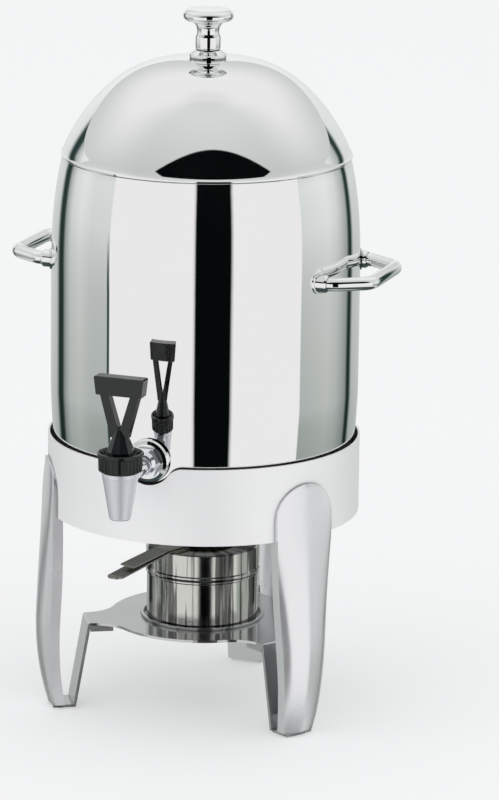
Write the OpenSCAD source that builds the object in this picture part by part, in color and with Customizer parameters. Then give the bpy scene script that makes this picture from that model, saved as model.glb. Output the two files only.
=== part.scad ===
// Coffee urn: a polished barrel tank with a front tap and a lift-off domed lid.
// It rests in a banded stand on three cast legs, over a chafing-fuel burner.
// Millimetres. Z is up, the tap faces -Y and the side handles lie on the X axis.
// The origin is the middle of the outer box, on the surface that the legs stand on.

/* [Stand] */
// Outer radius of the stand's polished band
ring_r = 122; // [118:0.5:126]
// Height of the band's lower edge
ring_z = 160; // [155:1:165]
// Height of the band's upper edge
ring_top = 220; // [212:1:222]
// Thickness of the band's sheet
ring_wall = 1.5; // [1:0.1:2]
// Radius of the notch that the tap passes through
notch_r = 20; // [18.5:0.5:22]
// Height of the top of the legs
leg_top = 203; // [198:1:206]
// Greatest radius of a leg's ridge
leg_bulge = 132.5; // [129:0.5:136]
// Width of a leg's foot
foot_w = 27; // [24:1:32]
// Width of a leg at the band
leg_w = 54; // [46:1:58]

/* [Tank] */
// Greatest radius of the tank
tank_r = 120; // [118:0.5:120]
// Height of the underside of the tank
tank_z = 166; // [163:1:168]
// Height of the joint between tank and lid
rim_z = 440; // [430:1:450]
// Thickness of the tank's sheet
tank_wall = 1; // [0.8:0.1:1.2]
// Height of the two side handles
handle_z = 357.5; // [340:0.5:365]
// Diameter of the handles' bar
handle_d = 10.4; // [9:0.2:10.4]

/* [Lid] */
// Rise of the dome above its rim
dome_h = 76; // [65:1:85]
// Radius of the knob's top
knob_r = 19.6; // [17:0.2:22]

/* [Tap] */
// Distance of the tap's upright axis from the tank's axis
tap_reach = 178; // [174:1:186]
// Height of the tap's shank
shank_z = 225; // [224:0.5:226]

/* [Burner] */
// Radius of the fuel pot
pot_r = 43.8; // [42:0.2:45]
// Height of the top of the platform
platform_z = 70; // [66:1:74]
// Height of the seam between fuel pot and cover
seam_z = 109; // [104:1:112]
// Height of the top of the cover
cover_top = 130; // [124:1:132]

/* [Hidden] */
$fn = 96;

fit = 0.1;               // clearance around a screw or a pin

// Stand
leg_angles = [-60, 60, 180];    // from the tap, seen from above
bulge_z = 72;                   // height of a leg's greatest radius
arch_z = 178;                   // height where a leg's rounded top begins
leg_foot_z = 3;                 // underside of the casting
leg_depth = 8;                  // depth of a leg's side walls
leg_wall = 3.5;
leg_edge = 2.2;                 // how far a leg's edge stands off the band
hollow_z = [14, ring_z - 4];    // ends of the hollow in a leg's back
ledge_r = 100;                  // inner radius of the ledge that carries the tank
pad_r = 115;                    // radius of the circle that the feet stand on
tab_z = 1;                      // underside of the platform's foot tabs
sheet = 2;                      // thickness of the platform's sheet
leg_screw_z = [176, 192];
disc_r = 73;                    // radius of the platform's disc
arm_half = 15;                  // half the width of a platform arm
arm_fillet = 28;                // fillet between disc and arms
bend_r = 92;                    // where an arm bends down towards its foot tab
lip_r = [46.4, 48];             // radii of the lip round the fuel pot's seat
notch_z = 226;                  // centre of the notch
notch_fillet = 13;

// Tank
barrel_low = 260;               // the barrel is straight between these heights
barrel_high = 340;
shoulder_r = 111.5;             // radius of the tank's rim
waist_z = 178;                  // top of the rounded bottom corner
waist_r = 114.5;
corner_r = 12;
seam_base = 184;                // weld between the barrel and its bottom pan
mouth_r = 107.5;                // radius of the filling mouth
post_y = 47;                    // half the distance between a handle's posts
grip_y = 31;                    // half the length of a handle's grip, at its corners
grip_x = 146;                   // distance of the grip from the tank's axis
post_x = 121;                   // where a post meets its slanting bar
bar_x = 112.7;                  // where the handles' bar begins, just off the tank
handle_bend = 12;               // radius of the bends in the handles' bar

// Tap
spout_z = 194;                  // lower end of the spout
body_top = 238.2;               // top of the tap body's threaded neck
bonnet_z = [231.3, 246];
pivot_z = 248;                  // height of the lever's pin
lever_top = 304;
lever_half = 19.9;              // half the length of the lever's bar
bar_low = 289.4;                // underside of the lever's bar
lever_foot = 246.6;             // lower edge of the lever's cone
shank_r = 8;
spring_z = [217.4, 237.6];      // ends of the return spring
spring_r = 7;                   // radius of its coils
wire_r = 0.6;
coils = 5;

// Lid and knob
lid_r = 111.9;
dome_start = 5;                 // where the dome's curve begins, in degrees
knob_z = rim_z + dome_h + 0.2;

// Burner
damper_az = -21;                // direction of the burner's two strips
pivot_r = 36;                   // distance of the damper's pivot from the burner's axis
hole_r = 21;                    // radius of the flame hole
plate_z = cover_top + 2.2;      // underside of the damper plate

// The outer box reaches from the tap's collar to the back leg's ridge.
collar_r = 17.7;
axis_y = (tap_reach + collar_r - leg_bulge) / 2;

steel = "gainsboro";
cast = "silver";
black = "dimgray";
rubber = "darkslategray";

module on_axis() translate([0, axis_y, 0]) children();

// Turns a piece that is drawn towards -Y to the given angle round the urn's axis.
module toward(angle) rotate([0, 0, angle]) children();

module at_tap(z = 0) translate([0, -tap_reach, z]) children();

// A round bar along a level path that turns left at each corner, as one swept skin.
module bent_bar(points, bend, d, sides = 20, steps = 5) {
    last = len(points) - 1;
    way = [for (i = [0 : last - 1]) let (v = points[i + 1] - points[i]) atan2(v[1], v[0])];
    rings = concat(
        [[points[0], way[0]]],
        [for (i = [1 : last - 1], k = [0 : steps])
            let (turn = way[i] - way[i - 1],
                 u = [cos(way[i - 1]), sin(way[i - 1])],
                 centre = points[i] - u * bend * tan(turn / 2) + bend * [-u[1], u[0]],
                 h = way[i - 1] + turn * k / steps)
            [centre + bend * [sin(h), -cos(h)], h]],
        [[points[last], way[last - 1]]]);
    top = len(rings) - 1;
    polyhedron(
        points = [for (r = rings, k = [0 : sides - 1]) let (b = 360 * k / sides)
            [r[0][0] - d / 2 * cos(b) * sin(r[1]), r[0][1] + d / 2 * cos(b) * cos(r[1]),
             d / 2 * sin(b)]],
        faces = concat(
            [[for (k = [sides - 1 : -1 : 0]) k]],
            [for (i = [0 : top - 1], k = [0 : sides - 1]) let (j = (k + 1) % sides)
                [i * sides + k, i * sides + j, (i + 1) * sides + j, (i + 1) * sides + k]],
            [[for (k = [0 : sides - 1]) top * sides + k]]),
        convexity = 4);
}

module tube(r_out, r_in, z0, z1) {
    difference() {
        translate([0, 0, z0]) cylinder(r = r_out, h = z1 - z0);
        translate([0, 0, z0 - 1]) cylinder(r = r_in, h = z1 - z0 + 2);
    }
}

// A pan-head screw along +Z with its head below the origin.
module screw(d, length, head_d, head_h) {
    cylinder(d = d, h = length, $fn = 32);
    difference() {
        translate([0, 0, -head_h]) cylinder(d1 = head_d * 0.8, d2 = head_d, h = head_h, $fn = 32);
        for (a = [0, 90]) rotate([0, 0, a])
            translate([-head_d / 4, -0.5, -head_h - 1]) cube([head_d / 2, 1, 1.8]);
    }
}

// ---- Tank profile -------------------------------------------------------

function barrel_r(z) =
    z > barrel_high
        ? tank_r - (tank_r - shoulder_r) * pow((z - barrel_high) / (rim_z - 1 - barrel_high), 2.8)
    : z < barrel_low
        ? tank_r - (tank_r - waist_r) * pow((barrel_low - z) / (barrel_low - waist_z), 1.5)
    : tank_r;

function corner_points(inset) =
    [for (a = [-90 : 15 : 0])
        [waist_r - corner_r + (corner_r - inset) * cos(a),
         waist_z + (corner_r - inset) * sin(a)]];

function barrel_points(z0, z1, steps, inset) =
    [for (i = [0 : steps]) let (z = z0 + (z1 - z0) * i / steps) [barrel_r(z) - inset, z]];

function reversed(list) = [for (i = [len(list) - 1 : -1 : 0]) list[i]];

function barrel_side(inset) = concat(
    barrel_points(seam_base, barrel_low, 12, inset),
    barrel_points(barrel_high, rim_z - 1, 18, inset));

// The tank's outside as a solid body, grown by a margin.
module tank_envelope(margin) {
    outline = concat([[0, tank_z - margin]], corner_points(-margin),
                     barrel_points(waist_z + 1, seam_base - 1, 3, -margin),
                     barrel_side(-margin), [[0, rim_z - 1]]);
    rotate_extrude($fn = 180) polygon(outline);
}

// ---- Stand --------------------------------------------------------------

// The notch for the tap, with rounded shoulders, seen from the front.
module notch_outline() offset(r = -notch_fillet, $fn = 96) offset(delta = notch_fillet) {
    translate([-3 * notch_r, ring_top]) square([6 * notch_r, 3 * notch_r]);
    translate([0, notch_z]) circle(notch_r);
}

module stand_ring() on_axis() color(steel) difference() {
    rotate_extrude($fn = 180) {
        translate([ring_r - ring_wall, ring_z]) square([ring_wall, ring_top - ring_z]);
        translate([ring_r - ring_wall - 1.2, ring_z]) square([1.3, 4]);
    }
    rotate([90, 0, 0]) linear_extrude(ring_r + 5) notch_outline();
    for (a = leg_angles, z = leg_screw_z) toward(a)
        translate([0, 0, z]) rotate([90, 0, 0]) cylinder(d = 4 + 2 * fit, h = ring_r + 5, $fn = 32);
}

module support_ledge() on_axis() color(steel) rotate_extrude($fn = 180) {
    inner = ring_r - ring_wall;
    translate([ledge_r, tank_z - 1.5]) square([inner - ledge_r, 1.5]);
    translate([inner - 1.5, tank_z - 1.5]) square([1.5, 6]);
    translate([ledge_r, tank_z - 5]) square([1.2, 4]);
}

function leg_ridge(z) =
    leg_bulge - (z > bulge_z ? 8.4 * pow((z - bulge_z) / (leg_top - bulge_z), 1.2)
                             : 11 * pow((bulge_z - z) / bulge_z, 2.2));
function leg_crown(z) = 3.5 + 5 * max(0, sin(180 * z / 170));
function leg_half(z) = foot_w / 2 + (leg_w - foot_w) / 2 * pow(min(z, ring_z) / ring_z, 0.7);

// Radius of a leg's edge at height z and half width t, kept clear of the band.
function leg_side(z, t) =
    max(leg_ridge(z) - leg_crown(z), z > ring_z - 20 ? sqrt(ring_r * ring_r - t * t) + leg_edge : 0);

// One level section of a leg, from its left edge round the crown to its right edge.
function leg_section(z, narrow, inset) =
    let (t = leg_half(z) * narrow - inset,
         side = leg_side(z, t) - inset,
         ridge = max(leg_ridge(z), side + inset + 0.5) - inset,
         bevel = min(4, t * 0.4),
         rise = (ridge - side) * 0.42,
         half = [for (i = [0 : 4]) let (u = 1 - i / 4)
             [(t - bevel) * u, side + rise + (ridge - side - rise) * (1 - pow(u, 1.5))]],
         back = leg_side(z, t) - leg_depth - (inset > 0 ? 4 : 0))
    concat([[-t, back], [-t, side]],
           [for (p = half) [-p[0], p[1]]],
           [for (i = [3 : -1 : 0]) half[i]],
           [[t, side], [t, back]]);

// Joins level sections into one closed solid. levels holds [z, section] pairs.
module loft(levels) {
    n = len(levels[0][1]);
    top = len(levels) - 1;
    polyhedron(
        points = [for (s = levels, p = s[1]) [p[0], -p[1], s[0]]],
        faces = concat(
            [[for (i = [0 : n - 1]) i]],
            [for (k = [0 : top - 1], i = [0 : n - 1])
                let (j = (i + 1) % n) [k * n + i, (k + 1) * n + i, (k + 1) * n + j, k * n + j]],
            [[for (i = [n - 1 : -1 : 0]) top * n + i]]),
        convexity = 6);
}

module leg(angle) on_axis() toward(angle) color(cast) difference() {
    loft(concat(
        [for (i = [0 : 15]) let (z = leg_foot_z + (arch_z - leg_foot_z) * i / 15)
            [z, leg_section(z, 1, 0)]],
        [for (a = [15, 30, 42, 54, 64, 73, 80, 85])
            let (z = arch_z + (leg_top - arch_z) * sin(a)) [z, leg_section(z, cos(a), 0)]]));
    loft([for (i = [0 : 8]) let (z = hollow_z[0] + (hollow_z[1] - hollow_z[0]) * i / 8)
        [z, leg_section(z, 1, leg_wall)]]);
    translate([0, 0, ring_z]) cylinder(r = ring_r + 0.05, h = 60, $fn = 240);
    translate([0, -pad_r, 0]) cylinder(d = 4 + 2 * fit, h = 12.5, $fn = 32);
    for (z = leg_screw_z) translate([0, 0, z]) rotate([90, 0, 0])
        cylinder(d = 4 + 2 * fit, h = ring_r + 2, $fn = 32);
}

module leg_front_left() leg(leg_angles[0]);
module leg_front_right() leg(leg_angles[1]);
module leg_back() leg(leg_angles[2]);

module leg_screws() on_axis() color(steel)
    for (a = leg_angles, z = leg_screw_z) toward(a)
        translate([0, -(ring_r - ring_wall - 1), z]) rotate([90, 0, 0]) screw(4, 4, 7, 2.2);

module leg_washers() on_axis() color(steel)
    for (a = leg_angles, z = leg_screw_z) toward(a)
        translate([0, -(ring_r - ring_wall - 1), z]) rotate([90, 0, 0]) difference() {
            cylinder(d = 9, h = 0.8, $fn = 32);
            translate([0, 0, -1]) cylinder(d = 4 + 2 * fit, h = 3, $fn = 32);
        }

// Plan of the burner platform: a disc with three arms in tangent fillets.
module platform_plan() offset(r = -arm_fillet, $fn = 96) offset(delta = arm_fillet) {
    circle(disc_r, $fn = 120);
    for (a = leg_angles) rotate(a - 90)
        translate([0, -arm_half]) square([bend_r, 2 * arm_half]);
}

module burner_platform() on_axis() color(steel) {
    foot_r = 104;
    tab_r = 120;
    difference() {
        union() {
            translate([0, 0, platform_z - sheet]) linear_extrude(sheet) platform_plan();
            for (a = leg_angles) toward(a) {
                // Sloping strap and foot tab
                translate([arm_half, 0, 0]) rotate([90, 0, -90]) linear_extrude(2 * arm_half)
                    polygon([[bend_r - 1, platform_z - sheet], [bend_r - 1, platform_z],
                             [bend_r, platform_z], [bend_r + 1, platform_z - 0.8],
                             [foot_r + 0.5, tab_z + sheet], [foot_r - 1.6, tab_z + sheet - 1],
                             [bend_r - 1.2, platform_z - sheet]]);
                translate([arm_half - 2.5, 0, 0]) rotate([90, 0, -90])
                    linear_extrude(2 * arm_half - 5)
                    polygon([[foot_r - 1.6, tab_z], [tab_r, tab_z], [tab_r, tab_z + sheet],
                             [foot_r - 1.6, tab_z + sheet]]);
                // Stiffening lips under the arm's edges
                for (s = [-1, 1]) translate([s * (arm_half - 0.8) - 0.8, -bend_r + 1, platform_z - 7])
                    cube([1.6, 18, 6]);
            }
            tube(lip_r[1], lip_r[0], platform_z - 0.5, platform_z + 2.2);
        }
        for (a = leg_angles) toward(a) translate([0, -pad_r, 0])
            cylinder(d1 = 8.6, d2 = 4 + 2 * fit, h = 3.1, $fn = 32);
    }
}

module platform_screws() on_axis() color(steel)
    for (a = leg_angles) toward(a) translate([0, -pad_r, tab_z]) difference() {
        union() {
            cylinder(d = 4, h = 11, $fn = 32);
            cylinder(d1 = 7, d2 = 4, h = 1.6, $fn = 32);
        }
        for (t = [0, 90]) rotate([0, 0, t]) translate([-2, -0.5, -0.5]) cube([4, 1, 1.2]);
    }

module foot_pads() on_axis() color(rubber)
    for (a = leg_angles) toward(a) translate([0, -pad_r + 1, 0])
        linear_extrude(tab_z) {
            square([12, 9], center = true);
            for (s = [-6, 6]) translate([s, 0]) circle(4.5, $fn = 40);
        }

// ---- Tank ---------------------------------------------------------------

module wall_holes() {
    translate([0, 0, shank_z]) rotate([90, 0, 0]) cylinder(r = shank_r + 0.2, h = 150, $fn = 64);
    for (x = [-1, 1], y = [-1, 1]) translate([0, y * post_y, handle_z]) rotate([0, 90 * x, 0])
        cylinder(d = 5 + 2 * fit, h = 150, $fn = 32);
}

module tank_shell() on_axis() color(steel) difference() {
    rotate_extrude($fn = 180) polygon(concat(
        barrel_side(0),
        [[shoulder_r, rim_z - 0.6], [shoulder_r - 0.6, rim_z], [mouth_r, rim_z],
         [mouth_r, rim_z - 5], [mouth_r + 1, rim_z - 5], [mouth_r + 1, rim_z - 1]],
        reversed(barrel_side(tank_wall))));
    wall_holes();
}

module tank_base() on_axis() color(steel) rotate_extrude($fn = 180) polygon(concat(
    [[0, tank_z]], corner_points(0),
    barrel_points(waist_z + 1, seam_base, 4, 0),
    reversed(barrel_points(waist_z + 1, seam_base, 4, tank_wall)),
    reversed(corner_points(tank_wall)), [[0, tank_z + tank_wall]]));

// A rigid side handle, drawn for the +X side.
module handle() on_axis() color(steel) translate([0, 0, handle_z]) difference() {
    bent_bar([[bar_x, -post_y], [post_x, -post_y], [grip_x, -grip_y],
              [grip_x, grip_y], [post_x, post_y], [bar_x, post_y]], handle_bend, handle_d);
    for (s = [-1, 1]) translate([100, s * post_y, 0]) rotate([0, 90, 0])
        cylinder(d = 5 + 2 * fit, h = 18, $fn = 32);
}

module handle_right() handle();
module handle_left() mirror([1, 0, 0]) handle();

module at_posts() for (x = [-1, 1], y = [-1, 1])
    translate([0, y * post_y, handle_z]) rotate([0, 90 * x, 0]) children();

module handle_ferrules() on_axis() color(steel) difference() {
    at_posts() difference() {
        union() {
            translate([0, 0, 106]) cylinder(d = 13.6, h = 9.6, $fn = 48);
            translate([0, 0, 115.6]) cylinder(d1 = 13.6, d2 = 11.8, h = 1.4, $fn = 48);
        }
        translate([0, 0, 100]) cylinder(d = handle_d + 2 * fit, h = 30, $fn = 48);
    }
    tank_envelope(1.2);
}

module handle_washers() on_axis() color(steel) difference() {
    at_posts() difference() {
        translate([0, 0, 100]) cylinder(d = 16.6, h = 14, $fn = 48);
        translate([0, 0, 99]) cylinder(d = handle_d + 2 * fit, h = 30, $fn = 48);
    }
    tank_envelope(0.02);
    difference() {
        translate([0, 0, handle_z]) cube([400, 400, 60], center = true);
        tank_envelope(1.15);
    }
}

// Cap nuts with studs that hold the handles from inside the tank.
module handle_nuts() on_axis() color(steel) at_posts() {
    translate([0, 0, 97.5]) sphere(d = 8.4, $fn = 40);
    translate([0, 0, 97.5]) cylinder(d = 10, h = 6.5, $fn = 6);
    translate([0, 0, 103]) cylinder(d = 5, h = 14, $fn = 32);
}

// ---- Tap ----------------------------------------------------------------

module tap_body() on_axis() color(steel) difference() {
    union() {
        at_tap() rotate_extrude() polygon([[0, spout_z], [7.6, spout_z], [8.3, spout_z + 0.8],
            [13.6, 226.5], [13.9, 228], [13.9, 230.6], [12, 231.1], [12, body_top], [0, body_top]]);
        translate([0, 0, shank_z - 1]) rotate([90, 0, 0])
            translate([0, 0, 127]) cylinder(r = 6.8, h = tap_reach - 138, $fn = 64);
        translate([0, 0, shank_z]) rotate([90, 0, 0]) {
            translate([0, 0, 104]) cylinder(r = shank_r, h = 21, $fn = 64);
            translate([0, 0, 124.4]) cylinder(r = 12.5, h = 4.2, $fn = 6);
            translate([0, 0, 128]) cylinder(r1 = 9.6, r2 = 7, h = 3, $fn = 64);
        }
    }
    at_tap() translate([0, 0, 211]) cylinder(r = 10, h = 40, $fn = 64);
    at_tap() translate([0, 0, 206.2]) cylinder(r1 = 6.3, r2 = 10, h = 4.81, $fn = 64);
    at_tap() translate([0, 0, spout_z - 1]) cylinder(r = 6.3, h = 14, $fn = 64);
    translate([0, 0, shank_z - 1]) rotate([90, 0, 0])
        translate([0, 0, 100]) cylinder(r = 4.6, h = tap_reach - 106, $fn = 48);
}

module tap_escutcheon() on_axis() color(steel) difference() {
    translate([0, 0, shank_z]) rotate([90, 0, 0]) rotate_extrude() polygon(
        [[shank_r + fit, 116], [17, 116], [17, 121.6], [16, 123.2], [13.5, 124.4], [shank_r + fit, 124.4]]);
    tank_envelope(0.15);
    translate([0, 0, shank_z]) rotate([90, 0, 0]) translate([0, 0, 110])
        cylinder(r = 14.4, h = 12, $fn = 64);
}

module outer_gasket() on_axis() color(rubber) difference() {
    translate([0, 0, shank_z]) rotate([90, 0, 0]) {
        difference() {
            translate([0, 0, 112]) cylinder(r = 14, h = 10, $fn = 64);
            cylinder(r = shank_r + fit, h = 150, $fn = 64);
        }
    }
    tank_envelope(0.02);
}

module inner_gasket() on_axis() color(rubber)
    translate([0, 0, shank_z]) rotate([90, 0, 0]) difference() {
        translate([0, 0, 114.4]) cylinder(r = 12, h = 1.8, $fn = 64);
        cylinder(r = shank_r + fit, h = 150, $fn = 64);
    }

module shank_nut() on_axis() color(steel)
    translate([0, 0, shank_z]) rotate([90, 0, 0]) difference() {
        union() {
            translate([0, 0, 108.4]) cylinder(r = 13.6, h = 5, $fn = 6);
            translate([0, 0, 113.4]) cylinder(r = 13, h = 1, $fn = 64);
        }
        cylinder(r = shank_r + fit, h = 150, $fn = 64);
    }

module seat_cup() on_axis() color(rubber) at_tap() rotate_extrude() polygon(
    [[0, 206.8], [5.6, 206.8], [8, 209.7], [8, 212.4], [5, 215], [2.3, 215], [2.3, 209.5], [0, 209.5]]);

module valve_stem() on_axis() color(steel) at_tap() {
    translate([0, 0, 209.5]) cylinder(r = 2.2, h = 33.4, $fn = 48);
    translate([0, 0, 215]) cylinder(r = 5, h = 1, $fn = 48);
}

// The return spring, a round wire wound round the stem.
function wire_ring(i, steps, sides) =
    let (a = 360 * coils * i / steps,
         z = spring_z[0] + (spring_z[1] - spring_z[0]) * i / steps)
    [for (k = [0 : sides - 1]) let (b = 360 * k / sides)
        [(spring_r + wire_r * cos(b)) * cos(a), (spring_r + wire_r * cos(b)) * sin(a),
         z + wire_r * sin(b)]];

module valve_spring() on_axis() color(steel) at_tap() {
    steps = coils * 14;
    sides = 6;
    polyhedron(
        points = [for (i = [0 : steps], p = wire_ring(i, steps, sides)) p],
        faces = concat(
            [[for (k = [0 : sides - 1]) k]],
            [for (i = [0 : steps - 1], k = [0 : sides - 1]) let (j = (k + 1) % sides)
                [i * sides + k, (i + 1) * sides + k, (i + 1) * sides + j, i * sides + j]],
            [[for (k = [sides - 1 : -1 : 0]) steps * sides + k]]),
        convexity = 8);
}

module tap_bonnet() on_axis() color(black) at_tap() difference() {
    union() {
        rotate_extrude() polygon(
            [[0, bonnet_z[0]], [15, bonnet_z[0]], [15.6, bonnet_z[0] + 0.8],
             [16.2, 242.6], [collar_r, 243.4], [collar_r, bonnet_z[1] - 0.6],
             [collar_r - 0.6, bonnet_z[1]], [16, bonnet_z[1]], [13.6, 240.9], [7, 240.4], [0, 240.4]]);
        for (i = [0 : 27]) rotate([0, 0, i * 360 / 28])
            translate([15.6, 0, bonnet_z[0] + 0.5]) cylinder(r1 = 0.9, r2 = 1.3, h = 12.2, $fn = 16);
        translate([0, 0, 240]) cylinder(r = 6, h = 12, $fn = 64);
    }
    translate([0, 0, bonnet_z[0] - 1]) cylinder(r = 12 + fit, h = body_top + 0.1 - bonnet_z[0] + 1, $fn = 64);
    cylinder(r = 2.2 + 0.2, h = 300, $fn = 48);
    translate([0, 0, pivot_z]) rotate([0, 90, 0]) cylinder(r = 1.5 + 0.05, h = 40, center = true, $fn = 32);
}

// The lever's bar and the V that carries it, seen from the front.
module lever_outline() {
    polygon([[-lever_half + 0.8, lever_top], [lever_half - 0.8, lever_top],
             [lever_half, lever_top - 0.8], [lever_half - 1.6, bar_low + 1],
             [lever_half - 2.6, bar_low], [-lever_half + 2.6, bar_low],
             [-lever_half + 1.6, bar_low + 1], [-lever_half, lever_top - 0.8]]);
    difference() {
        polygon([[-15.6, bar_low + 1], [15.6, bar_low + 1], [8, 262], [7, 257.5],
                 [-7, 257.5], [-8, 262]]);
        polygon([[-8.5, bar_low], [8.5, bar_low], [0.9, 264.5], [-0.9, 264.5]]);
    }
}

module tap_lever() on_axis() color(black) at_tap() difference() {
    union() {
        rotate([90, 0, 0]) translate([0, 0, -3.5]) linear_extrude(7) lever_outline();
        rotate([90, 0, 0]) translate([0, 0, -5]) linear_extrude(10) intersection() {
            lever_outline();
            translate([-lever_half - 1, bar_low + 0.4]) square([2 * lever_half + 2, 30]);
        }
        // Faceted cone that caps the bonnet
        translate([0, 0, lever_foot]) cylinder(r1 = 11.2, r2 = 3.2, h = 18.4, $fn = 10);
    }
    translate([0, 0, pivot_z]) sphere(r = 8.4, $fn = 64);
    translate([0, 0, pivot_z - 10]) cylinder(r = 8.4, h = 10, $fn = 64);
    translate([0, 0, pivot_z]) rotate([0, 90, 0]) cylinder(r = 1.5 + 0.05, h = 40, center = true, $fn = 32);
}

module lever_pin() on_axis() color(steel) at_tap(pivot_z) rotate([0, 90, 0])
    cylinder(r = 1.5, h = 19.6, center = true, $fn = 32);

// ---- Lid ----------------------------------------------------------------

// The dome's outline leans in at the rim, swells at the shoulder and is nearly flat on top.
function dome_points(inset) = [for (i = [0 : 24])
    let (t = dome_start + (90 - dome_start) * i / 24,
         low = pow(sin(dome_start), 1.4),
         out = pow(cos(t) / cos(dome_start), 1.13 - 0.4 * sin(t)))
    [(lid_r - inset) * out, rim_z + 1 + (dome_h - 1 - inset) * (pow(sin(t), 1.4) - low) / (1 - low)]];

module lid_dome() on_axis() color(steel) difference() {
    rotate_extrude($fn = 180) polygon(concat(
        [[lid_r - 3.5, rim_z], [lid_r + 0.3, rim_z], [lid_r + 0.8, rim_z + 0.5],
         [lid_r + 0.8, rim_z + 1.5], [lid_r + 0.2, rim_z + 2]],
        [for (i = [1 : 24]) dome_points(0)[i]],
        [for (i = [24 : -1 : 1]) dome_points(1)[i]],
        [[lid_r - 1.1, rim_z + 1.2], [lid_r - 3.5, rim_z + 1.2]]));
    cylinder(d = 5 + 2 * fit, h = 700, $fn = 32);
}

module lid_skirt() on_axis() color(steel) rotate_extrude($fn = 180) {
    translate([mouth_r - 1.6, rim_z - 9]) square([1, 11.2]);
    translate([mouth_r - 1.6, rim_z + 1.2]) square([4.5, 1]);
}

module knob_base() on_axis() color(steel) difference() {
    translate([0, 0, knob_z]) rotate_extrude() polygon(
        [[0, -2.5], [13.4, -2.5], [14.6, 1.2], [14.7, 2.2], [14.2, 3], [11.5, 4.6], [9.6, 5.8], [0, 5.8]]);
    rotate_extrude($fn = 180) polygon(concat([for (p = dome_points(-0.03)) p], [[0, rim_z]]));
    cylinder(d = 5 + 2 * fit, h = 700, $fn = 32);
}

module lid_knob() on_axis() color(steel) translate([0, 0, knob_z]) difference() {
    rotate_extrude() polygon(concat(
        [[0, 5.8], [8.8, 5.8], [9.6, 7], [9.8, 8.4], [9.8, 15.6], [9.3, 17.2], [8.7, 18.4], [8.6, 21],
         [9.2, 23.9], [11.2, 26.7], [14, 28.1]],
        [for (a = [-60 : 15 : 75]) [knob_r - 4.9 + 4.9 * cos(a), 32.7 + 4.4 * sin(a)]],
        [[0, 37.4]]));
    cylinder(d = 5 + 2 * fit, h = 20, $fn = 32);
}

module knob_screw() on_axis() color(steel)
    translate([0, 0, rim_z + dome_h - 3.4]) screw(5, 20, 9.5, 3);

module knob_washer() on_axis() color(steel) difference() {
    translate([0, 0, rim_z + dome_h - 3.4]) cylinder(d = 14, h = 1.6, $fn = 48);
    cylinder(d = 5 + 2 * fit, h = 700, $fn = 32);
}

// ---- Burner -------------------------------------------------------------

module burner_pot() on_axis() color(steel) rotate_extrude($fn = 120) polygon(
    [[0, platform_z], [pot_r - 3, platform_z], [pot_r - 0.8, platform_z + 0.9], [pot_r, platform_z + 3],
     [pot_r, seam_z - 3.2], [pot_r + 0.9, seam_z - 2.2], [pot_r + 0.9, seam_z - 1], [pot_r, seam_z],
     [pot_r - 1, seam_z], [pot_r - 1, seam_z + 3], [pot_r - 1.8, seam_z + 3], [pot_r - 1.8, seam_z - 4],
     [pot_r - 1, seam_z - 5], [pot_r - 1, platform_z + 3.2], [pot_r - 1.6, platform_z + 1.7],
     [pot_r - 3, platform_z + 1.2], [0, platform_z + 1.2]]);

module fuel_can() on_axis() color("whitesmoke") rotate_extrude($fn = 96) polygon(
    [[0, platform_z + 1.4], [pot_r - 3.4, platform_z + 1.4], [pot_r - 2.6, platform_z + 3.4],
     [pot_r - 2.6, seam_z - 4], [pot_r - 4, seam_z - 2.6], [17, seam_z - 2.6], [16, seam_z - 1],
     [15, seam_z - 1], [15, seam_z - 3.6], [pot_r - 4.4, seam_z - 3.6], [pot_r - 3.6, seam_z - 5],
     [pot_r - 3.6, platform_z + 4], [pot_r - 4.4, platform_z + 2.4], [0, platform_z + 2.4]]);

module burner_cover() on_axis() color(steel) difference() {
    rotate_extrude($fn = 120) polygon(
        [[pot_r - 0.6, seam_z], [pot_r + 0.9, seam_z], [pot_r + 1.5, seam_z + 1.2],
         [pot_r + 1.5, seam_z + 2.4], [pot_r + 0.8, seam_z + 3.4], [pot_r + 0.8, cover_top - 1],
         [pot_r, cover_top], [hole_r, cover_top], [hole_r, cover_top - 1], [pot_r - 1, cover_top - 1], [pot_r - 0.6, cover_top - 1.4]]);
    toward(damper_az + 180) translate([0, -pivot_r, 0]) cylinder(d = 4 + 2 * fit, h = 300, $fn = 32);
    toward(damper_az) for (r = [27, 38]) translate([0, -r, 0])
        cylinder(d = 3 + 2 * fit, h = 300, $fn = 24);
}

// Side view of a strip that lies flat, then slopes down outside the cover.
module strip(r0, r_bend, r1, z, drop, width, thick) {
    translate([width / 2, 0, 0]) rotate([90, 0, -90]) linear_extrude(width) polygon(
        [[r0, z], [r_bend, z], [r1, z - drop], [r1, z - drop + thick],
         [r_bend, z + thick], [r0, z + thick]]);
}

module cover_handle() on_axis() color(steel) toward(damper_az) difference() {
    union() {
        strip(23, 47, 100, cover_top, 8.6, 14, 1.2);
        translate([0, -100, cover_top - 8.6]) intersection() {
            cylinder(r = 7, h = 1.2, $fn = 40);
            translate([-7, -7, 0]) cube([14, 7, 2]);
        }
    }
    for (r = [27, 38]) translate([0, -r, 0]) cylinder(d = 3 + 2 * fit, h = 300, $fn = 24);
}

module handle_rivets() on_axis() color(steel) toward(damper_az)
    for (r = [27, 38]) translate([0, -r, cover_top - 2]) {
        cylinder(d = 5, h = 0.9, $fn = 24);
        cylinder(d = 3, h = 3.2, $fn = 24);
        translate([0, 0, 3.2]) cylinder(d1 = 5, d2 = 4, h = 0.5, $fn = 24);
    }

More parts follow.
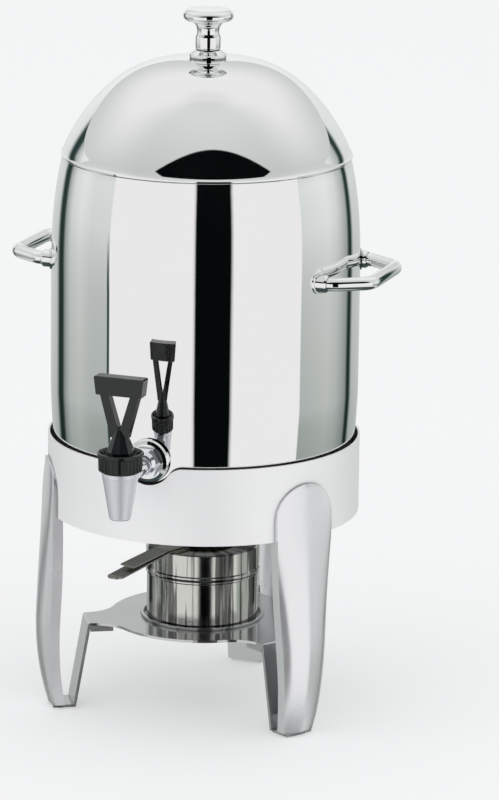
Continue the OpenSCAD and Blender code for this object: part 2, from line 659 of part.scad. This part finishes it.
module damper_plate() on_axis() color(steel) toward(damper_az) difference() {
    union() {
        translate([0, 0, plate_z]) cylinder(r = hole_r + 5, h = 1.2, $fn = 96);
        translate([0, pivot_r, plate_z]) cylinder(r = 7, h = 1.2, $fn = 48);
        strip(-pivot_r, 49, 88, plate_z, 5.2, 14, 1.2);
    }
    translate([0, pivot_r, 0]) cylinder(d = 4 + 2 * fit, h = 300, $fn = 32);
    translate([0, 0, plate_z - 1]) cylinder(r = 3, h = 4, $fn = 32);
}

module damper_pivot() on_axis() color(steel) toward(damper_az + 180)
    translate([0, -pivot_r, cover_top - 2.2]) {
        cylinder(d = 7, h = 1.1, $fn = 32);
        cylinder(d = 4, h = 6, $fn = 32);
        translate([0, 0, 2.3]) difference() {
            cylinder(d = 8, h = 1.9, $fn = 32);
            translate([0, 0, -1]) cylinder(d = 3.9, h = 4, $fn = 32);
        }
        translate([0, 0, 5.8]) cylinder(d1 = 7.4, d2 = 5, h = 1, $fn = 32);
    }

stand_ring();
support_ledge();
leg_front_left();
leg_front_right();
leg_back();
leg_screws();
leg_washers();
burner_platform();
platform_screws();
foot_pads();
tank_shell();
tank_base();
handle_left();
handle_right();
handle_ferrules();
handle_washers();
handle_nuts();
tap_body();
tap_escutcheon();
outer_gasket();
inner_gasket();
shank_nut();
seat_cup();
valve_stem();
valve_spring();
tap_bonnet();
tap_lever();
lever_pin();
lid_dome();
lid_skirt();
knob_base();
lid_knob();
knob_screw();
knob_washer();
burner_pot();
fuel_can();
burner_cover();
cover_handle();
handle_rivets();
damper_plate();
damper_pivot();
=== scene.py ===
import math

import bpy
from mathutils import Matrix, Vector


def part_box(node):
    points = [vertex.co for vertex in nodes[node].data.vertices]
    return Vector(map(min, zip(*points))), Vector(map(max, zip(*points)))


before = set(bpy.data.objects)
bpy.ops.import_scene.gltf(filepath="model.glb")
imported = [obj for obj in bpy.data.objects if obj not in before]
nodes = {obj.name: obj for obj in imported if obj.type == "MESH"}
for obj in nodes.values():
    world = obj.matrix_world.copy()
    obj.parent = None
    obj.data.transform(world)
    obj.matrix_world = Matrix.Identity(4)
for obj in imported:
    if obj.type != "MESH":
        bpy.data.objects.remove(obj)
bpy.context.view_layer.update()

# The urn's upright axis, from the middle of the stand's band.
band_low, band_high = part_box("stand_ring")
AXIS = Vector(((band_low[0] + band_high[0]) / 2, (band_low[1] + band_high[1]) / 2, 0))

CAMERA_AZIMUTH = math.radians(20.5)
CAMERA_DISTANCE = 3.6621
CAMERA_HEIGHT = 1.1795
CAMERA_PITCH = 0.24995
CAMERA_YAW = 0.00965
CAMERA_ROLL = 0.01299
LENS = 217.47


# ---- Camera ----------------------------------------------------------------

def add_camera():
    turn = Matrix.Rotation(CAMERA_AZIMUTH, 3, "Z")
    ahead = Vector((math.sin(CAMERA_YAW) * math.cos(CAMERA_PITCH),
                    math.cos(CAMERA_YAW) * math.cos(CAMERA_PITCH),
                    -math.sin(CAMERA_PITCH)))
    level = Vector((math.cos(CAMERA_YAW), -math.sin(CAMERA_YAW), 0))
    above = level.cross(ahead)
    right = math.cos(CAMERA_ROLL) * level + math.sin(CAMERA_ROLL) * above
    up = -math.sin(CAMERA_ROLL) * level + math.cos(CAMERA_ROLL) * above
    place = Matrix((turn @ right, turn @ up, turn @ -ahead)).transposed().to_4x4()
    place.translation = AXIS + turn @ Vector((0, -CAMERA_DISTANCE, 0)) + Vector((0, 0, CAMERA_HEIGHT))
    data = bpy.data.cameras.new("camera")
    data.lens = LENS
    data.sensor_width = 36
    data.clip_end = 100
    data.dof.use_dof = False
    camera = bpy.data.objects.new("camera", data)
    camera.matrix_world = place
    bpy.context.collection.objects.link(camera)
    bpy.context.scene.camera = camera


# ---- Node helpers ----------------------------------------------------------

class Graph:
    """Adds shader nodes to a tree and links them."""

    def __init__(self, tree):
        self.tree = tree
        tree.nodes.clear()

    def add(self, kind, inputs=None, **settings):
        node = self.tree.nodes.new(kind)
        for name, value in settings.items():
            setattr(node, name, value)
        for name, value in (inputs or {}).items():
            if isinstance(value, bpy.types.NodeSocket):
                self.tree.links.new(value, node.inputs[name])
            else:
                node.inputs[name].default_value = value
        return node

    def math(self, operation, a, b=0.0, clamp=False):
        return self.add("ShaderNodeMath", {0: a, 1: b}, operation=operation, use_clamp=clamp).outputs[0]

    def mix(self, factor, a, b, blend="MIX"):
        node = self.add("ShaderNodeMix", data_type="RGBA", blend_type=blend)
        for socket, value in ((node.inputs["Factor"], factor), (self.colour(node.inputs, 0), a),
                              (self.colour(node.inputs, 1), b)):
            if isinstance(value, bpy.types.NodeSocket):
                self.tree.links.new(value, socket)
            elif socket.type == "RGBA":
                socket.default_value = (*value, 1)
            else:
                socket.default_value = value
        return self.colour(node.outputs, 0)

    @staticmethod
    def colour(sockets, index):
        return [socket for socket in sockets if socket.type == "RGBA"][index]

    def span(self, value, low, high, to_low=0.0, to_high=1.0, linear=False):
        return self.add("ShaderNodeMapRange", {"Value": value, "From Min": low, "From Max": high,
                                               "To Min": to_low, "To Max": to_high},
                        interpolation_type="LINEAR" if linear else "SMOOTHSTEP").outputs[0]

    def ramp(self, value, stops):
        node = self.add("ShaderNodeValToRGB", {"Fac": value})
        ramp = node.color_ramp
        while len(ramp.elements) < len(stops):
            ramp.elements.new(0.5)
        for element, (place, colour) in zip(ramp.elements, stops):
            element.position = place
            element.color = (*colour, 1)
        return node.outputs["Color"]


# ---- Studio ----------------------------------------------------------------

WHITE = (0.905, 0.905, 0.895)
PALE = (0.985, 1.0, 0.99)
GREY = (0.86, 0.885, 0.875)
DUSK = (0.50, 0.53, 0.52)
LINE = (0.03, 0.055, 0.05)
BLACK = (0.002, 0.003, 0.003)
BACKDROP = (0.95, 0.955, 0.96, 1)
FLOOR_REACH = 12.0
FLOOR_GLOW = 0.5     # share of the floor's brightness that shadows don't take away

CLEAR_ANGLE = 76.0   # screens within this azimuth of the camera keep their own colour at every height
OPENING_AZIMUTH = 5.0
OPENING_HALF_WIDTH = 54.0
OPENING_FOOT = 17.0
OPENING_HEIGHT = 36.0
SEAM_AZIMUTH = -77.0

# The studio's screens by azimuth in degrees from the camera, to the camera's right.
SCREENS = [(-180, PALE), (-160, PALE), (-146, GREY), (-140, LINE), (-133, LINE), (-129, DUSK),
           (-121, GREY), (-108, PALE), (-95, GREY), (-76.2, GREY), (-75.4, WHITE),
           (-8.6, WHITE), (-7.8, BLACK), (19.2, BLACK), (20.0, WHITE), (75.6, WHITE),
           (76.4, GREY), (104, PALE), (116, GREY), (130, DUSK), (133.5, LINE), (138, LINE),
           (143, GREY), (180, PALE)]


def hypotenuse(g, a, b):
    return g.math("SQRT", g.math("ADD", g.math("POWER", a, 2.0), g.math("POWER", b, 2.0)))


def ray_angles(g):
    """The ray's azimuth from the camera and its elevation, in degrees."""
    ray = g.add("ShaderNodeTexCoord").outputs["Generated"]
    c, s = math.cos(CAMERA_AZIMUTH), math.sin(CAMERA_AZIMUTH)
    to_camera, to_right = (
        g.add("ShaderNodeVectorMath", {0: ray, 1: way}, operation="DOT_PRODUCT").outputs["Value"]
        for way in ((s, -c, 0), (c, s, 0)))
    height = g.add("ShaderNodeSeparateXYZ", {0: ray}).outputs["Z"]
    azimuth = g.math("DEGREES", g.math("ARCTAN2", to_right, to_camera))
    return azimuth, g.math("DEGREES", g.math("ARCSINE", height))


def screen_colour(g, azimuth, elevation):
    screens = g.ramp(g.math("ADD", g.math("DIVIDE", azimuth, 360.0), 0.5),
                     [((angle + 180) / 360, colour) for angle, colour in SCREENS])
    # The screens away from the camera dim and turn greenish towards the floor.
    dim = g.ramp(g.span(elevation, -22.0, 13.0, linear=True),
                 [(0.0, (0.38, 0.41, 0.39)), (0.1, (0.42, 0.45, 0.43)), (0.21, (0.54, 0.56, 0.545)),
                  (0.26, (0.62, 0.635, 0.625)), (0.49, (0.80, 0.81, 0.80)), (1.0, (0.92, 0.93, 0.93))])
    dimmed = g.mix(1.0, screens, dim, blend="MULTIPLY")
    aside = g.math("ABSOLUTE", azimuth)
    screens = g.mix(g.span(aside, CLEAR_ANGLE - 0.6, CLEAR_ANGLE + 0.2), screens, dimmed)
    # A seam between two screens shows low down on the left.
    from_seam = g.math("ABSOLUTE", g.math("SUBTRACT", azimuth, SEAM_AZIMUTH))
    seam = g.math("MULTIPLY", g.span(from_seam, 0.5, 1.6, 1.0, 0.0),
                  g.span(elevation, -13.0, -3.0, 1.0, 0.0))
    return g.mix(seam, screens, LINE)


def cloth_colour(g, azimuth, elevation, reach):
    """The overhead cloth: dim and low in front, brightest high up behind the urn.
    It has a dark opening low over the camera, flat below and rounded above."""
    front = g.mix(g.span(elevation, 14.0, 82.0), (0.575, 0.59, 0.59), (0.755, 0.76, 0.76))
    behind = g.mix(g.span(elevation, 10.0, 50.0), (0.64, 0.65, 0.65), (0.90, 0.90, 0.895))
    cloth = g.mix(g.span(g.math("ABSOLUTE", azimuth), 56.0, 114.0), front, behind)
    cloth = g.mix(g.span(elevation, 70.0, 84.0, 0.0, 0.5), cloth, (0.72, 0.725, 0.725))
    return g.mix(g.span(reach, 0.985, 1.015), BLACK, cloth)


def studio_colour(g, azimuth, elevation):
    off_middle = g.math("SUBTRACT", azimuth, OPENING_AZIMUTH)
    reach = hypotenuse(g, g.math("DIVIDE", off_middle, OPENING_HALF_WIDTH),
                       g.math("DIVIDE", g.math("SUBTRACT", elevation, OPENING_FOOT), OPENING_HEIGHT))
    # The screens' top edge is highest under the opening.
    edge = g.span(g.math("ABSOLUTE", off_middle), 40.0, 62.0, OPENING_FOOT + 0.6, OPENING_FOOT - 2.4)
    colour = g.mix(g.span(g.math("SUBTRACT", elevation, edge), -0.3, 0.3),
                   screen_colour(g, azimuth, elevation), cloth_colour(g, azimuth, elevation, reach))
    # The table is pale near the urn, with a dark edge further down and light again below that.
    table = g.ramp(g.span(elevation, -90.0, -30.0, linear=True),
                   [(0.0, (0.72, 0.72, 0.71)), (0.24, (0.60, 0.61, 0.61)), (0.29, (0.06, 0.08, 0.08)),
                    (0.76, (0.04, 0.06, 0.06)), (0.83, (0.62, 0.63, 0.63)), (1.0, (0.80, 0.80, 0.79))])
    return g.mix(g.span(elevation, -38.0, -28.0), table, colour)


def light_studio():
    """Mirrors see the screens, the cloth and the table. Matt surfaces get soft light, white from
    overhead and from the camera's side and dimmer from the sides. The camera sees plain pale grey."""
    world = bpy.data.worlds.new("studio")
    bpy.context.scene.world = world
    world.use_nodes = True
    g = Graph(world.node_tree)
    azimuth, elevation = ray_angles(g)
    beside = g.math("MULTIPLY", g.span(g.math("ABSOLUTE", azimuth), 40.0, 100.0),
                    g.span(elevation, 28.0, 52.0, 1.0, 0.0))
    soft = g.add("ShaderNodeBackground", {"Color": (0.99, 0.995, 1.0, 1),
                                          "Strength": g.span(beside, 0.0, 1.0, 1.10, 0.35, linear=True)})
    mirrored = g.add("ShaderNodeBackground", {"Color": studio_colour(g, azimuth, elevation)})
    seen = g.add("ShaderNodeBackground", {"Color": BACKDROP})
    path = g.add("ShaderNodeLightPath").outputs
    light = soft.outputs[0]
    for ray, other in (("Is Glossy Ray", mirrored), ("Is Camera Ray", seen)):
        light = g.add("ShaderNodeMixShader", {0: path[ray], 1: light, 2: other.outputs[0]}).outputs[0]
    g.add("ShaderNodeOutputWorld", {"Surface": light})


def add_lamp(name, place, size, watts):
    data = bpy.data.lights.new(name, "AREA")
    data.shape = "DISK"
    data.size = size
    data.energy = watts
    lamp = bpy.data.objects.new(name, data)
    lamp.location = place
    aim = AXIS + Vector((0, 0, 0.2)) - Vector(place)
    lamp.rotation_euler = aim.to_track_quat("-Z", "Y").to_euler()
    lamp.visible_glossy = False
    bpy.context.collection.objects.link(lamp)


def add_floor():
    mesh = bpy.data.meshes.new("floor")
    corners = [(x * FLOOR_REACH, y * FLOOR_REACH, 0) for x, y in ((-1, -1), (1, -1), (1, 1), (-1, 1))]
    mesh.from_pydata(corners, [], [(0, 1, 2, 3)])
    floor = bpy.data.objects.new("floor", mesh)
    bpy.context.collection.objects.link(floor)
    material = bpy.data.materials.new("pale_floor")
    material.use_nodes = True
    g = Graph(material.node_tree)
    paper = g.add("ShaderNodeBsdfDiffuse", {"Color": (0.92, 0.925, 0.93, 1)})
    glow = g.add("ShaderNodeEmission", {"Color": BACKDROP})
    surface = g.add("ShaderNodeMixShader", {0: FLOOR_GLOW, 1: paper.outputs[0], 2: glow.outputs[0]})
    g.add("ShaderNodeOutputMaterial", {"Surface": surface.outputs[0]})
    mesh.materials.append(material)
    floor.visible_glossy = False


# ---- Materials -------------------------------------------------------------

# Noise scales, in cells per metre.
CLOUDS = 9.0
SMUDGES = 22.0
TURNED_LINES = 2600.0
FINE_GRAIN = 1500.0
WEAR = 60.0
# Bump depths, in metres.
RIPPLE_DEPTH = 0.002
LINE_DEPTH = 0.00012
GRAIN_DEPTH = 0.00015
MOULDED_DEPTH = 0.0002

def new_material(name):
    material = bpy.data.materials.new(name)
    material.use_nodes = True
    return material, Graph(material.node_tree)


def around_axis(g, turns, rise):
    """Coordinates that run round the urn's axis, so that a noise on them makes turned lines."""
    place = g.add("ShaderNodeTexCoord").outputs["Object"]
    part = g.add("ShaderNodeSeparateXYZ", {0: place})
    y = g.math("SUBTRACT", part.outputs["Y"], AXIS.y)
    angle = g.math("ARCTAN2", y, part.outputs["X"])
    radius = hypotenuse(g, part.outputs["X"], y)
    return g.add("ShaderNodeCombineXYZ", {"X": g.math("MULTIPLY", angle, turns),
                                          "Y": g.math("MULTIPLY", radius, rise),
                                          "Z": g.math("MULTIPLY", part.outputs["Z"], rise)}).outputs[0]


def noise(g, scale, detail=3.0, vector=None, roughness=0.5):
    if vector is None:
        vector = g.add("ShaderNodeTexCoord").outputs["Object"]
    return g.add("ShaderNodeTexNoise", {"Vector": vector, "Scale": scale, "Detail": detail,
                                        "Roughness": roughness}).outputs["Fac"]


def bump(g, height, strength, distance, normal=None):
    inputs = {"Height": height, "Strength": strength, "Distance": distance}
    if normal is not None:
        inputs["Normal"] = normal
    return g.add("ShaderNodeBump", inputs).outputs["Normal"]


def metal(name, colour, roughness, spread, ripple=0.0, ripple_scale=14.0, turned=0.0, fine=0.0,
          metallic=1.0, painted_crevice_shade=0.0, painted_sheen_streaks=0.0, polished_behind=None):
    """Steel or chrome: smudges vary its gloss, ripples and turned lines stir its reflections.
    Painted crevice shade darkens the colour within that distance of a neighbour; painted sheen streaks run
    up and down round the urn.
    A piece can be left polished behind a given distance along Y."""
    material, g = new_material(name)
    smudge = noise(g, SMUDGES, 5.0, roughness=0.6)
    shade = g.mix(noise(g, CLOUDS, 4.0), [c * 0.97 for c in colour], colour)
    # Painted sheen: darker vertical bands round the urn's axis stand in for streaky reflections.
    if painted_sheen_streaks:
        sheen_bands = g.span(noise(g, 1.0, 3.0, around_axis(g, 7.0, 6.0), 0.65), 0.44, 0.56)
        shade = g.mix(sheen_bands, [c * (1 - painted_sheen_streaks) for c in colour], shade)
    # Painted shade: the colour darkens to a tenth in crevices within this distance of a neighbour, where
    # shade falls.
    if painted_crevice_shade:
        shade_openness = g.add("ShaderNodeAmbientOcclusion", {"Distance": painted_crevice_shade}, samples=6).outputs["AO"]
        shade = g.mix(g.span(shade_openness, 0.35, 0.80), [c * 0.10 for c in colour], shade)
    gloss = g.span(smudge, 0.3, 0.72, roughness, roughness + spread)
    if polished_behind is not None:
        place = g.add("ShaderNodeTexCoord").outputs["Object"]
        along = g.add("ShaderNodeSeparateXYZ", {0: place}).outputs["Y"]
        gloss = g.math("MULTIPLY", gloss, g.span(along, polished_behind, polished_behind + 0.002, 1.0, 0.1))
    inputs = {"Metallic": metallic, "Roughness": gloss, "Base Color": shade}
    normal = None
    if ripple:
        normal = bump(g, noise(g, ripple_scale, 1.0), ripple, RIPPLE_DEPTH)
    if turned:
        normal = bump(g, noise(g, 1.0, 4.0, around_axis(g, 3.0, TURNED_LINES)), turned, LINE_DEPTH, normal)
    if fine:
        normal = bump(g, noise(g, FINE_GRAIN, 2.0), fine, GRAIN_DEPTH, normal)
    if normal is not None:
        inputs["Normal"] = normal
    surface = g.add("ShaderNodeBsdfPrincipled", inputs)
    g.add("ShaderNodeOutputMaterial", {"Surface": surface.outputs[0]})
    return material


def moulded(name, colour, roughness, grain, grain_scale):
    """Plastic or rubber with a fine moulded grain and slightly worn, duller patches."""
    material, g = new_material(name)
    wear = noise(g, WEAR, 4.0)
    normal = bump(g, noise(g, grain_scale, 3.0), grain, MOULDED_DEPTH)
    surface = g.add("ShaderNodeBsdfPrincipled",
                    {"Base Color": g.mix(wear, colour, [c * 1.5 + 0.002 for c in colour]),
                     "Roughness": g.span(wear, 0.3, 0.7, roughness - 0.06, roughness + 0.08),
                     "Normal": normal})
    g.add("ShaderNodeOutputMaterial", {"Surface": surface.outputs[0]})
    return material


POLISHED = (0.90, 0.905, 0.905)
TAP_BACK = AXIS.y - 0.165   # just behind the tap's upright body, where its polished shank begins
# The crevice distances below paint shade into the colour near neighbouring parts.
mirror = metal("mirror_polished_steel", POLISHED, 0.012, 0.02, ripple=0.012)
dome_steel = metal("dome_polished_steel", POLISHED, 0.015, 0.02, ripple=0.01)
chrome = metal("chrome_plate", (0.90, 0.91, 0.91), 0.02, 0.03, painted_crevice_shade=0.003)
satin_band = metal("satin_band_steel", (0.94, 0.94, 0.945), 0.48, 0.06, turned=0.25, metallic=0.3,
                   painted_crevice_shade=0.005)
turned_steel = metal("turned_steel", (0.62, 0.63, 0.64), 0.26, 0.12, turned=0.5)
cast = metal("polished_casting", (0.89, 0.89, 0.91), 0.20, 0.08, fine=0.2, metallic=0.75,
             painted_crevice_shade=0.007)
satin_chrome = metal("satin_chrome", (0.88, 0.89, 0.94), 0.42, 0.06, fine=0.12, metallic=0.85,
                     painted_crevice_shade=0.003, polished_behind=TAP_BACK)
platform_steel = metal("platform_sheet", (0.60, 0.61, 0.615), 0.12, 0.08, ripple=0.02, metallic=0.95,
                       painted_crevice_shade=0.004)
# The burner's streaks are painted sheen.
burner_steel = metal("burner_sheet", (0.66, 0.66, 0.625), 0.07, 0.08, ripple=0.05, ripple_scale=24.0,
                     turned=0.3, painted_crevice_shade=0.003, painted_sheen_streaks=0.8)
strip_steel = metal("strip_sheet", (0.34, 0.33, 0.30), 0.22, 0.16, ripple=0.05, ripple_scale=60.0, fine=0.2)
tinplate = metal("tinplate", (0.72, 0.72, 0.70), 0.25, 0.12, turned=0.3)
plastic = moulded("black_moulded_plastic", (0.004, 0.005, 0.006), 0.12, 0.12, 2400.0)
rubber = moulded("black_rubber", (0.02, 0.02, 0.021), 0.62, 0.5, 1800.0)

FINISH = {
    "tank_shell": mirror, "lid_dome": dome_steel, "lid_knob": chrome, "knob_base": chrome,
    "handle_left": chrome, "handle_right": chrome, "handle_ferrules": chrome, "handle_washers": chrome,
    "tap_escutcheon": chrome, "stand_ring": satin_band, "leg_front_left": cast,
    "leg_front_right": cast, "leg_back": cast, "tap_body": satin_chrome,
    "burner_platform": platform_steel, "burner_pot": burner_steel, "burner_cover": burner_steel,
    "cover_handle": strip_steel, "damper_plate": strip_steel, "fuel_can": tinplate,
    "tap_bonnet": plastic, "tap_lever": plastic, "foot_pads": rubber, "outer_gasket": rubber,
    "inner_gasket": rubber, "seat_cup": rubber,
}


def finish_nodes():
    for name, node in nodes.items():
        node.data.materials.clear()
        node.data.materials.append(FINISH.get(name, turned_steel))


# ---- Smoothing of faceted CAD pieces ----------------------------------------

EVEN_WELD = 0.00001      # joins only the corners that a face's edge splits
UNEVEN_WELD = 0.00015    # also closes up slivers


def smooth_facets(name, angle, uneven=False):
    """Shades a faceted piece smoothly up to the given angle, after joining its split corners.
    An uneven piece has slivers among its facets, which would otherwise spoil the shading."""
    node = nodes[name]
    mesh = node.data
    custom = mesh.attributes.get("custom_normal")
    if custom:
        mesh.attributes.remove(custom)
    for key in ("sharp_edge", "sharp_face"):
        if mesh.attributes.get(key):
            mesh.attributes.remove(mesh.attributes[key])
    weld = node.modifiers.new("weld", "WELD")
    weld.merge_threshold = UNEVEN_WELD if uneven else EVEN_WELD
    split = node.modifiers.new("split", "EDGE_SPLIT")
    split.split_angle = math.radians(angle)
    if uneven:
        even = node.modifiers.new("even", "WEIGHTED_NORMAL")
        even.mode = "FACE_AREA"
        even.weight = 100
    for polygon in mesh.polygons:
        polygon.use_smooth = True


BAR_ANGLE = 40.0      # sharper corners than this stay sharp
SHELL_ANGLE = 26.0

add_camera()
light_studio()
add_floor()
add_lamp("key", (-1.2, -1.6, 3.4), 2.6, 9.0)
add_lamp("fill", (2.4, -0.6, 2.8), 2.6, 5.0)
finish_nodes()
for name in ("handle_left", "handle_right", "valve_spring"):
    smooth_facets(name, BAR_ANGLE)
for name in ("leg_front_left", "leg_front_right", "leg_back"):
    smooth_facets(name, SHELL_ANGLE, uneven=True)
for name in ("tank_shell", "lid_dome", "lid_knob"):
    smooth_facets(name, SHELL_ANGLE)

bpy.context.scene.view_settings.view_transform = "Standard"
